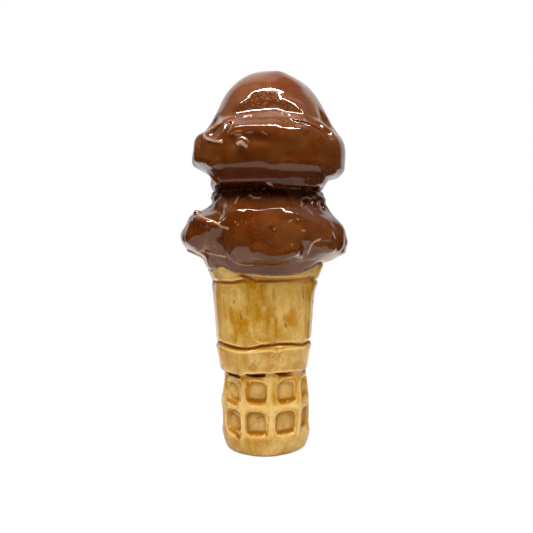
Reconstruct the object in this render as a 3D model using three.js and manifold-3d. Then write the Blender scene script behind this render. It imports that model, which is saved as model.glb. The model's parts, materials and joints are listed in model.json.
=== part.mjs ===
// A glazed ceramic copy of a double scoop chocolate ice cream: two scoops on a flat-footed wafer cup.
// Millimetres, +Z up, the front towards -Y. The origin is the centre of the foot's flat underside.
// Bearings run round the object in degrees: 0 at the front, 90 at the right, 180 at the back.

import * as THREE from "three";
import { mergeVertices } from "three/addons/utils/BufferGeometryUtils.js";
import Module from "manifold-3d";

const wasm = await Module();
wasm.setup();

// Driving heights, up from the table
const bandBottom = 33.7;
const glazeLineHeight = 75.2; // where the chocolate glaze ends on the cup
const neckHeight = 107.2; // where the upper scoop sits on the lower one
const crownHeight = 159.6;

// Driving radii
const footBaseRadius = 15;
const footRadius = 18.8;
const bandRadius = 20.8;
const rimRadius = 23.4;
const neckRadius = 22.8;
const lowerScoopRadius = 31.4;
const upperScoopRadius = 32.6;

// How far each part stands to the right of the foot's centre
const cupShift = -0.7;
const upperScoopShift = 1.5;

const seamGap = 0.3; // between pieces that touch

// How finely the surfaces are divided
const pointsAround = 72;
const upperScoopRings = 28;
const lowerScoopRings = 23;

const chocolateGlaze = new THREE.MeshStandardMaterial({ color: 0x4f2410, roughness: 0.12, metalness: 0 });
const waferGlaze = new THREE.MeshStandardMaterial({ color: 0xc9974a, roughness: 0.2, metalness: 0 });

// The wafer cup, from its foot to the glaze line
const cup = {
  // radius and height up the foot, which the band hides from bandBottom upwards
  foot: [
    [footBaseRadius, 0],
    [16.4, 1.1],
    [17.5, 3.6],
    [18.4, 7.5],
    [footRadius, 14],
    [footRadius + 0.1, 20.6],
    [18.2, 28],
    [17.6, 32.5],
    [17.6, 37],
  ],
  // radius and height up the band, the groove over it, the wall, the rim's groove and the rim
  wall: [
    [18.4, bandBottom],
    [19.2, 34.6],
    [20.1, 40],
    [bandRadius, 43.8],
    [20.5, 44.6],
    [19.7, 45.1],
    [19.7, 46.2],
    [20.7, 46.9],
    [21, 53],
    [21.5, 59.5],
    [22.1, 66],
    [22.6, 70],
    [22, 70.7],
    [22, 71.6],
    [22.7, 72.2],
  ],
  waves: [
    { count: 2, phase: 40, out: 0.25, lift: 0.4 },
    { count: 3, phase: 110, out: 0.2, lift: 0.3 },
    { count: 5, phase: 15, out: 0.1, lift: 0.2 },
  ],
  sag: { bearing: -24, spread: 46, height: 45, rise: 14, lift: -1.2 }, // the groove dips at the front left
};

// The pressed waffle pockets: columns round the foot, and rows from under the band down
const pockets = {
  bearings: [-45, -11, 29, 69, 110, 151, 192, 233, 274],
  rows: [
    { height: 36.6, turn: 0 },
    { height: 26.2, turn: 0 },
    { height: 13.8, turn: -1.5 },
  ],
  wide: 9.5,
  tall: 9.9,
  corner: 2.6,
  deep: 2.7,
  floorShare: 0.74, // the pocket's floor, as a share of its mouth
  pointsPerCorner: 3,
};

// Where the chocolate glaze ends: it runs down or pulls back at these bearings
const glazeRuns = [
  { bearing: -48, spread: 22, lift: 2.7 },
  { bearing: 12, spread: 40, lift: -0.9 },
  { bearing: 74, spread: 36, lift: 3.4 },
  { bearing: 128, spread: 30, lift: -1.1 },
  { bearing: 176, spread: 28, lift: 2.1 },
  { bearing: 226, spread: 34, lift: -0.8 },
];

// A fold moves the surface out and up round a bearing and a height, fading over its spread and rise.
// Its height climbs by slope from its middle to the end of its spread, and drops by droop at both ends.
const lowerScoop = {
  profile: [
    [25.2, 78.2],
    [26.6, 80.2],
    [29.2, 81.8],
    [30.8, 84],
    [lowerScoopRadius, 87.6],
    [31, 91.4],
    [29.6, 95],
    [27.6, 98.6],
    [25.4, 102],
    [23.6, 105.2],
    [neckRadius + 0.4, neckHeight - 0.2],
  ],
  waves: [
    { count: 3, phase: 200, out: 0.4, lift: 0.4 },
    { count: 5, phase: 70, out: 0.2, lift: 0.3 },
  ],
  folds: [
    { bearing: 4, spread: 40, height: 92, rise: 15, out: 1.8, lift: 0 }, // round mound at the front
    { bearing: 10, spread: 22, height: 84, rise: 6, out: 1.6, lift: -1.6 }, // its middle hangs lower
    { bearing: -6, spread: 46, height: 80, rise: 4.5, out: 0.4, lift: -2 }, // lip under it
    { bearing: -30, spread: 12, height: 89, rise: 10, out: -3, lift: 0 }, // crease left of the mound
    { bearing: 40, spread: 10, height: 85, rise: 8, out: -1.8, lift: 0, slope: 3 }, // crease right of it
    { bearing: -78, spread: 40, height: 90.4, rise: 10.6, out: 5, lift: 0 }, // left wing
    { bearing: -56, spread: 32, height: 94.6, rise: 4.6, out: 1.8, lift: 0.8, slope: -6 }, // its crest
    { bearing: -76, spread: 22, height: 97.2, rise: 4, out: 1.4, lift: 0.6 }, // its upturned tip
    { bearing: -84, spread: 36, height: 103.6, rise: 3.6, out: -1.2, lift: 0 },
    { bearing: -86, spread: 44, height: 81.4, rise: 3.4, out: -1.4, lift: 0.4 },
    { bearing: -50, spread: 16, height: 85.6, rise: 5, out: -2.6, lift: 1.4 }, // hollow under the crest
    { bearing: 86, spread: 38, height: 83.6, rise: 8, out: 4.2, lift: -0.6 }, // right lobe
    { bearing: 84, spread: 34, height: 92.4, rise: 6.6, out: 2.4, lift: 0 },
    { bearing: 60, spread: 26, height: 90.5, rise: 3.4, out: 1.2, lift: 0, slope: 1 }, // its crest
    { bearing: 113, spread: 9, height: 88, rise: 11, out: -3, lift: 0 },
    { bearing: 142, spread: 30, height: 90, rise: 12, out: 3, lift: 0 }, // lobes at the back
    { bearing: 173, spread: 9, height: 87, rise: 10, out: -3, lift: 0 },
    { bearing: 206, spread: 34, height: 88, rise: 11, out: 2.6, lift: 0 },
    { bearing: 198, spread: 22, height: 99, rise: 5, out: 3.2, lift: 1 },
    { bearing: 242, spread: 10, height: 90, rise: 12, out: -3.4, lift: 0 },
  ],
};

const upperScoop = {
  profile: [
    [neckRadius - 0.4, neckHeight + seamGap],
    [22.8, 108.8],
    [26.4, 109.5],
    [29, 110.2],
    [30, 111.4],
    [30.2, 113.6],
    [30.8, 115.2],
    [32, 117],
    [upperScoopRadius, 120.8],
    [upperScoopRadius - 0.1, 126.2],
    [31.2, 130],
    [28.6, 133.6],
    [26.6, 136.8],
    [25, 140],
    [22.8, 144.2],
    [20.2, 148.6],
    [17, 152.6],
    [12.6, 156.1],
    [7.5, 158.6],
    [2.4, crownHeight],
  ],
  waves: [
    { count: 2, phase: 60, out: 0.3, lift: 0 },
    { count: 3, phase: 150, out: 0.3, lift: 0.2 },
    { count: 5, phase: 10, out: 0.2, lift: 0.2 },
  ],
  folds: [
    { bearing: 0, spread: 80, height: 138.4, rise: 3.4, out: -1.6, lift: 0, droop: 4 }, // crease
    { bearing: 4, spread: 90, height: 133.6, rise: 4.4, out: 1.6, lift: 0.7, droop: 4 }, // shelf below it
    { bearing: -62, spread: 15, height: 134.6, rise: 5, out: -2.4, lift: 0 }, // pockets at its two ends
    { bearing: 66, spread: 14, height: 136, rise: 6, out: -2.4, lift: 0, slope: -3 },
    { bearing: -70, spread: 20, height: 130.6, rise: 2.6, out: 1, lift: 0.8 }, // lip at the left
    { bearing: -90, spread: 60, height: 141, rise: 9, out: -0.8, lift: 0 }, // flatter at the left
    { bearing: 16, spread: 50, height: 111, rise: 2.4, out: 0.4, lift: -1 }, // second lip under the skirt
    { bearing: -94, spread: 58, height: 114.6, rise: 6, out: -6, lift: 0.8 }, // the skirt is short here
    { bearing: -92, spread: 60, height: 111.2, rise: 3.4, out: -3.6, lift: 0 },
    { bearing: 92, spread: 54, height: 116.6, rise: 4, out: 0.6, lift: 0 }, // and hangs lower here
    { bearing: 98, spread: 58, height: 111.4, rise: 3.8, out: -6.6, lift: 0.6 },
    { bearing: 128, spread: 12, height: 124, rise: 9, out: -1.8, lift: 0 }, // dents in the skirt's back
    { bearing: 160, spread: 40, height: 133, rise: 6, out: 2, lift: 0.8 },
    { bearing: 184, spread: 14, height: 122, rise: 9, out: -2.2, lift: 0 },
    { bearing: 216, spread: 40, height: 116, rise: 5, out: 2, lift: -1.4 },
    { bearing: 240, spread: 12, height: 128, rise: 8, out: -1.8, lift: 0 },
  ],
};

// How far one bearing is from another, from -180 to 180.
function turnBetween(from, to) {
  return THREE.MathUtils.euclideanModulo(to - from + 180, 360) - 180;
}

// A smooth hump: 1 in its middle, 0 at its reach and beyond.
function hump(distance, reach) {
  return (1 - Math.min(1, (distance / reach) ** 2)) ** 2;
}

// How strongly a fold pulls at a bearing and a height, from 0 to 1.
function foldPull(fold, bearing, height) {
  const turn = turnBetween(fold.bearing, bearing);
  const along = turn / fold.spread;
  const middle = fold.height + (fold.slope ?? 0) * along - (fold.droop ?? 0) * along ** 2;
  return hump(turn, fold.spread) * hump(height - middle, fold.rise);
}

// The uneven, hand-made waver of a surface at a bearing.
function waver(waves, bearing, key) {
  return waves.reduce(
    (sum, wave) => sum + wave[key] * Math.sin(THREE.MathUtils.degToRad(wave.count * bearing + wave.phase)),
    0,
  );
}

function pointAt(bearing, radius, height, shift) {
  const angle = THREE.MathUtils.degToRad(bearing);
  return new THREE.Vector3(shift + radius * Math.sin(angle), -radius * Math.cos(angle), height);
}

const bearings = Array.from({ length: pointsAround }, (_, i) => (360 * i) / pointsAround);

function glazeLineAt(bearing) {
  return glazeRuns.reduce(
    (height, run) => height + run.lift * hump(turnBetween(run.bearing, bearing), run.spread),
    glazeLineHeight,
  );
}

// The glaze line on the cup's flared rim, which the cup and the lower scoop share but for the gap.
function glazeRing(drop) {
  const flare = 0.48;
  return bearings.map((bearing) => {
    const height = glazeLineAt(bearing);
    return pointAt(bearing, rimRadius + flare * (height - glazeLineHeight), height - drop, cupShift);
  });
}

// The closed surface over rings of points, from the lowest ring to the highest, with a fan across each end.
function skinOver(rings) {
  const around = rings[0].length;
  const middle = (ring) => ring.reduce((sum, p) => sum.add(p), new THREE.Vector3()).divideScalar(around);
  const points = [...rings.flat(), middle(rings[0]), middle(rings.at(-1))];
  const faces = [];
  const bottom = points.length - 2;
  const top = points.length - 1;
  const lastRing = (rings.length - 1) * around;
  for (let j = 0; j < around; j++) {
    const next = (j + 1) % around;
    faces.push(bottom, next, j, top, lastRing + j, lastRing + next);
    for (let start = 0; start < lastRing; start += around) {
      const [a, b, c, d] = [start + j, start + next, start + around + next, start + around + j];
      faces.push(a, b, c, a, c, d);
    }
  }
  const geometry = new THREE.BufferGeometry().setFromPoints(points);
  geometry.setIndex(faces);
  return geometry;
}

// Turns a closed geometry into a solid that can be joined and cut.
function solidOf(geometry) {
  const merged = mergeVertices(geometry, 1e-4);
  return new wasm.Manifold(
    new wasm.Mesh({
      numProp: 3,
      vertProperties: new Float32Array(merged.attributes.position.array),
      triVerts: new Uint32Array(merged.index.array),
    }),
  );
}

function geometryOf(solid) {
  const mesh = solid.getMesh();
  const geometry = new THREE.BufferGeometry();
  geometry.setAttribute("position", new THREE.BufferAttribute(mesh.vertProperties, 3));
  geometry.setIndex(new THREE.BufferAttribute(mesh.triVerts, 1));
  return geometry;
}

function namedMesh(name, geometry, material) {
  geometry.computeVertexNormals();
  const mesh = new THREE.Mesh(geometry, material);
  mesh.name = name;
  return mesh;
}

// A ring of the cup's wall, uneven where the hand-rolled strips meet.
function wallRing(radius, height) {
  return bearings.map((bearing) => {
    const out = waver(cup.waves, bearing, "out");
    const lift = waver(cup.waves, bearing, "lift") + cup.sag.lift * foldPull(cup.sag, bearing, height);
    return pointAt(bearing, radius + out, height + lift, cupShift);
  });
}

// A pocket's cutter: a rounded mouth outside the foot, narrowing to its floor.
function pocketCutter(bearing, height) {
  const outline = (share) => {
    const corner = share * pockets.corner;
    const points = [];
    for (let quarter = 0; quarter < 4; quarter++) {
      const across = quarter === 0 || quarter === 3 ? 1 : -1;
      const up = quarter < 2 ? 1 : -1;
      for (let i = 0; i < pockets.pointsPerCorner; i++) {
        const angle = (Math.PI / 2) * (quarter + i / (pockets.pointsPerCorner - 1));
        points.push([
          across * ((share * pockets.wide) / 2 - corner) + corner * Math.cos(angle),
          up * ((share * pockets.tall) / 2 - corner) + corner * Math.sin(angle),
        ]);
      }
    }
    return points;
  };
  const ringAt = (radius, share) =>
    outline(share).map(([across, up]) => {
      const middle = pointAt(bearing, radius, height + up, 0);
      return middle.add(pointAt(bearing + 90, across, 0, 0));
    });
  const outside = ringAt(footRadius + 2.4, 1.12);
  const mouth = ringAt(footRadius - 0.5, 1);
  const floor = ringAt(footRadius - pockets.deep, pockets.floorShare);
  return solidOf(skinOver([floor, mouth, outside]));
}

function waferCup() {
  const footRings = cup.foot.map(([radius, height]) =>
    bearings.map((bearing) => pointAt(bearing, radius, height, 0)),
  );
  let foot = solidOf(skinOver(footRings));
  for (const bearing of pockets.bearings) {
    for (const row of pockets.rows) foot = foot.subtract(pocketCutter(bearing + row.turn, row.height));
  }
  const wallRings = cup.wall.map(([radius, height]) => wallRing(radius, height));
  const wall = solidOf(skinOver([...wallRings, glazeRing(seamGap)]));
  return namedMesh("wafer_cup", geometryOf(wall.add(foot)), waferGlaze);
}

// A scoop's rings: its profile as a smooth curve, taken round and moved by its waves and folds.
function scoopRings(scoop, ringCount, shiftAt) {
  const outline = scoop.profile.map(([radius, height]) => new THREE.Vector2(radius, height));
  const [lowest, highest] = [outline[0].y, outline.at(-1).y];
  return new THREE.SplineCurve(outline).getSpacedPoints(ringCount - 1).map(({ x: radius, y: height }) => {
    const free = 1 - Math.max(hump(height - lowest, 2), hump(height - highest, 3)); // the ends stay level
    const shift = shiftAt((height - lowest) / (highest - lowest));
    return bearings.map((bearing) => {
      let out = waver(scoop.waves, bearing, "out");
      let lift = waver(scoop.waves, bearing, "lift");
      for (const fold of scoop.folds) {
        const pull = foldPull(fold, bearing, height);
        out += pull * fold.out;
        lift += pull * fold.lift;
      }
      return pointAt(bearing, radius + free * out, height + free * lift, shift);
    });
  });
}

function lowerScoopMesh() {
  const leaning = (share) => THREE.MathUtils.lerp(cupShift, upperScoopShift / 2, share);
  const rings = [glazeRing(0), ...scoopRings(lowerScoop, lowerScoopRings, leaning)];
  return namedMesh("lower_scoop", skinOver(rings), chocolateGlaze);
}

function upperScoopMesh() {
  const leaning = (share) => upperScoopShift * Math.min(1.15, 0.5 + 1.7 * share);
  const rings = scoopRings(upperScoop, upperScoopRings, leaning);
  return namedMesh("upper_scoop", skinOver(rings), chocolateGlaze);
}

const iceCream = new THREE.Group();
iceCream.add(waferCup(), lowerScoopMesh(), upperScoopMesh());

export default iceCream;
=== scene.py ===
# Glazed ceramic copy of a double scoop chocolate ice cream in a flat-footed wafer cup.
# Metres, +Z up, the front towards -Y. Bearings run round the object in degrees: 0 front, 90 right.
# A path that is seen runs over points of the photograph, in its pixels, put on the clay along the sight
# lines. A path that is turned runs over bearings in degrees and heights in millimetres.
import json
import math
import random

import bpy
import numpy as np
from mathutils import Matrix, Vector
from mathutils.bvhtree import BVHTree

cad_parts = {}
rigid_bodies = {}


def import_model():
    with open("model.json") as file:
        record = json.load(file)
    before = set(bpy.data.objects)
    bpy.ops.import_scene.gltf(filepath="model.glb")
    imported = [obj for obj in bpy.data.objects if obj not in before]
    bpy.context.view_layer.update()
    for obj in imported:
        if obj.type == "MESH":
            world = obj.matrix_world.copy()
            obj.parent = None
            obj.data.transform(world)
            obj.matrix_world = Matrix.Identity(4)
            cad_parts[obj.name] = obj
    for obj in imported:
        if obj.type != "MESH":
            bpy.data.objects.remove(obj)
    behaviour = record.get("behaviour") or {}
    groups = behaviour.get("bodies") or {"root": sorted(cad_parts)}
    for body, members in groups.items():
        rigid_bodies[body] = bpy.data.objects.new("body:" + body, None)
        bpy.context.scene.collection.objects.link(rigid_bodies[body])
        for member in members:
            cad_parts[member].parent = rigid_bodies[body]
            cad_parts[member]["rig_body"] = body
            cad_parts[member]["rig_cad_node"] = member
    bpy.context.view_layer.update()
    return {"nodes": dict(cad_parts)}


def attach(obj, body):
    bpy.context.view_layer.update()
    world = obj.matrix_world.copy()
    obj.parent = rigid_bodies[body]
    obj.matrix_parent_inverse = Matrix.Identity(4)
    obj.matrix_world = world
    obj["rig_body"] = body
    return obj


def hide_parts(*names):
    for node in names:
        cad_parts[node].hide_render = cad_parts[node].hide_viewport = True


mm = 0.001
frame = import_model()
scene = bpy.context.scene
print("frame loaded:", ", ".join(sorted(frame["nodes"])))

# Camera
camera = {
    "sensorWidth": 36,
    "framePixels": 533,
    "focalPixels": 636,
    "distance": 0.273,
    "height": 0.083,
    "horizonPixel": 252,
    "footPixel": 265,
}


def addCamera():
    bpy.ops.object.camera_add(
        location=(0, -camera["distance"], camera["height"]), rotation=(math.radians(90), 0, 0),
    )
    made = bpy.context.object
    across = camera["framePixels"]
    made.data.sensor_width = camera["sensorWidth"]
    made.data.lens = camera["sensorWidth"] * camera["focalPixels"] / across
    made.data.shift_x = (across / 2 - camera["footPixel"]) / across
    made.data.shift_y = (camera["horizonPixel"] - across / 2) / across
    made.data.clip_start = 0.01
    scene.camera = made
    return made.location.copy()


eye = addCamera()


# Clay work: what touches a piece's mesh is an operator on the points picked here
def pickOnly(piece):
    bpy.ops.object.select_all(action="DESELECT")
    piece.select_set(True)
    bpy.context.view_layer.objects.active = piece


def useModifier(piece, kind, **settings):
    pickOnly(piece)
    modifier = piece.modifiers.new(kind.lower(), kind)
    for name, setting in settings.items():
        setattr(modifier, name, setting)
    bpy.ops.object.modifier_apply(modifier=modifier.name)


def pointsOf(piece, what="co"):
    flat = np.empty(3 * len(piece.data.vertices))
    piece.data.vertices.foreach_get(what, flat)
    return flat.reshape(-1, 3)


def editPoints(piece, chosen):
    pickOnly(piece)
    mesh = piece.data
    mesh.vertices.foreach_set("select", chosen)
    mesh.edges.foreach_set("select", np.zeros(len(mesh.edges), bool))
    mesh.polygons.foreach_set("select", np.zeros(len(mesh.polygons), bool))
    bpy.ops.object.mode_set(mode="EDIT")


def treeOf(piece):
    return BVHTree.FromObject(piece, bpy.context.evaluated_depsgraph_get())


# Remeshes the piece in even quads of a size in millimetres, smooths it, and finds its new surface
def knead(piece, voxel, rounds):
    useModifier(piece, "REMESH", mode="VOXEL", voxel_size=voxel * mm)
    useModifier(piece, "SMOOTH", factor=0.5, iterations=rounds)
    return treeOf(piece)


def seenAt(tree, x, y):
    way = Vector((x - camera["footPixel"], camera["focalPixels"], camera["horizonPixel"] - y))
    return tree.ray_cast(eye, way.normalized())[0]


def turnedAt(tree, bearing, height):
    angle = math.radians(bearing)
    way = Vector((math.sin(angle), -math.cos(angle), 0))
    return tree.ray_cast(Vector((0, 0, height * mm)) + 0.1 * way, -way)[0]


# The two kinds of path: where a point of it lies on the clay, the step between its points, and its corners
def seen(*corners):
    return seenAt, 1, corners


def turned(*corners):
    return turnedAt, 2, corners


# A path's points on the clay, close together
def trace(tree, path):
    place, step, corners = path
    if len(corners) == 1:
        found = [place(tree, *corners[0])]
    else:
        found = []
        for start, end in zip(corners, corners[1:]):
            parts = max(1, math.ceil(math.dist(start, end) / step))
            for i in range(parts + 1):
                share = i / parts
                found.append(place(tree, *(a + share * (b - a) for a, b in zip(start, end))))
    return [point for point in found if point is not None]


# How far each point is from the nearest of some places, in millimetres
def reachOf(points, places):
    nearest = np.full(len(points), np.inf)
    for point in places:
        nearest = np.minimum(nearest, ((points - np.array(point)) ** 2).sum(axis=1))
    return np.sqrt(nearest) / mm


# Moves the clay within wide of the paths out from the axis, to the front and up, in millimetres, fading
# over fade more
def stroke(piece, tree, paths, wide=0.6, fade=3, out=0, front=0, up=0, soft="SMOOTH"):
    traced = [point for path in paths for point in trace(tree, path)]
    points = pointsOf(piece)
    near = reachOf(points, traced) < wide
    if not near.any():
        print("a stroke on", piece.name, "meets nothing:", paths)
        return
    softly = {
        "use_proportional_edit": True,
        "proportional_edit_falloff": soft,
        "proportional_size": fade * mm,
    }
    editPoints(piece, near)
    if out:
        radius = np.hypot(points[near, 0], points[near, 1]).mean()
        grow = 1 + out * mm / radius
        bpy.ops.transform.resize(value=(grow, grow, 1), center_override=(0, 0, 0), **softly)
    if up or front:
        bpy.ops.transform.translate(value=(0, -front * mm, up * mm), **softly)
    bpy.ops.object.mode_set(mode="OBJECT")


# Rubs the clay smooth within wide of the paths
def soften(piece, tree, paths, wide, rounds):
    traced = [point for path in paths for point in trace(tree, path)]
    editPoints(piece, reachOf(pointsOf(piece), traced) < wide)
    bpy.ops.mesh.vertices_smooth(factor=0.5, repeat=rounds)
    bpy.ops.object.mode_set(mode="OBJECT")


# A merged copy of a CAD solid, to be worked on as clay
def copyNode(node, name):
    pickOnly(frame["nodes"][node])
    bpy.ops.object.duplicate()
    piece = bpy.context.object
    piece.name = name
    piece.parent = None
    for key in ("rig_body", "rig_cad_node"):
        del piece[key]
    piece.data.materials.clear()
    bpy.ops.object.mode_set(mode="EDIT")
    bpy.ops.mesh.select_all(action="SELECT")
    bpy.ops.mesh.remove_doubles(threshold=0.01 * mm)
    bpy.ops.object.mode_set(mode="OBJECT")
    return piece


# A soft roll of clay along a path, thinner at its ends, half sunk in the piece
def addRoll(tree, path, thick, sink=0.3, ends=0.4):
    traced = trace(tree, path)
    curve = bpy.data.curves.new("roll", "CURVE")
    curve.dimensions = "3D"
    curve.bevel_depth = 1
    curve.bevel_resolution = 3
    curve.use_fill_caps = True
    spline = curve.splines.new("POLY")
    spline.points.add(len(traced) - 1)
    for i, (given, point) in enumerate(zip(spline.points, traced)):
        inward = Vector((-point.x, -point.y, 0)).normalized()
        share = i / max(1, len(traced) - 1)
        swell = ends + (1 - ends) * math.sin(math.pi * share) ** 0.5
        given.co = (*(point + sink * mm * inward), 1)
        given.radius = thick / 2 * mm * swell
    roll = bpy.data.objects.new("roll", curve)
    scene.collection.objects.link(roll)
    pickOnly(roll)
    bpy.ops.object.convert(target="MESH")
    return bpy.context.object


# A lump of clay at one place: its half sizes across, deep and tall, turned in the plane of the surface
def addLump(tree, place, size, turn=0, sink=0, kind=seenAt):
    point = kind(tree, *place)
    bearing = math.atan2(point.x, -point.y)
    inward = Vector((-point.x, -point.y, 0)).normalized()
    bpy.ops.object.select_all(action="DESELECT")
    bpy.ops.mesh.primitive_ico_sphere_add(subdivisions=3, radius=mm)
    lump = bpy.context.object
    stretch = Matrix.Diagonal((*size, 1))
    turns = Matrix.Rotation(bearing, 4, "Z") @ Matrix.Rotation(math.radians(turn), 4, "Y")
    lump.matrix_world = Matrix.Translation(point + sink * mm * inward) @ turns @ stretch
    bpy.ops.object.transform_apply(location=True, rotation=True, scale=True)
    return lump


# Moves the faces that look up or down at an end of the piece, within around of the axis, into its neighbour,
# which closes the seam
def closeSeam(piece, low, high, looks, up, grow=1, around=40):
    points = pointsOf(piece) / mm
    tilt = pointsOf(piece, "normal")[:, 2] * looks
    near = np.hypot(points[:, 0], points[:, 1]) < around
    editPoints(piece, near & (points[:, 2] > low) & (points[:, 2] < high) & (tilt > 0.8))
    bpy.ops.transform.translate(value=(0, 0, up * mm))
    bpy.ops.transform.resize(value=(grow, grow, 1), center_override=(0, 0, 0))
    bpy.ops.object.mode_set(mode="OBJECT")


def joinAll(piece, extras):
    bpy.ops.object.select_all(action="DESELECT")
    for extra in extras:
        extra.select_set(True)
    piece.select_set(True)
    bpy.context.view_layer.objects.active = piece
    bpy.ops.object.join()


# Lays a colour mask along the paths: full within wide of them, fading over fade more, in millimetres
def paint(piece, tree, mask, paths, wide=0.3, fade=0.8, strength=1):
    if mask not in piece.data.attributes:
        piece.data.attributes.new(mask, "FLOAT", "POINT")
    values = np.empty(len(piece.data.vertices))
    piece.data.attributes[mask].data.foreach_get("value", values)
    traced = [point for path in paths for point in trace(tree, path)]
    away = reachOf(pointsOf(piece), traced)
    values = np.maximum(values, strength * np.clip((wide + fade - away) / fade, 0, 1))
    piece.data.attributes[mask].data.foreach_set("value", values)


# Marks how far each point stands out of the smoothed surface, in millimetres: edges above 0, hollows below
def markRelief(piece, name, rounds):
    pickOnly(piece)
    bpy.ops.object.duplicate()
    smoothed = bpy.context.object
    useModifier(smoothed, "SMOOTH", factor=0.5, iterations=rounds)
    stands = ((pointsOf(piece) - pointsOf(smoothed)) * pointsOf(smoothed, "normal")).sum(axis=1) / mm
    piece.data.attributes.new(name, "FLOAT", "POINT").data.foreach_set("value", stands)
    pickOnly(smoothed)
    bpy.ops.object.delete()


# Marks where glaze gathers: deep under the smoothed surface and looking up
def markPools(piece, rounds, deep, top):
    markRelief(piece, "wide", rounds)
    wide = np.empty(len(piece.data.vertices))
    piece.data.attributes["wide"].data.foreach_get("value", wide)
    upward = np.clip((pointsOf(piece, "normal")[:, 2] - 0.15) / 0.4, 0, 1)
    inside = np.clip((-wide - deep) / deep, 0, 1) * (pointsOf(piece)[:, 2] < top * mm)
    piece.data.attributes["wide"].data.foreach_set("value", inside)
    piece.data.attributes.new("pool", "FLOAT", "POINT").data.foreach_set("value", inside * upward)


# Upper scoop
upper = {
    "roughVoxel": 0.8,
    "fineVoxel": 0.42,
}


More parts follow.
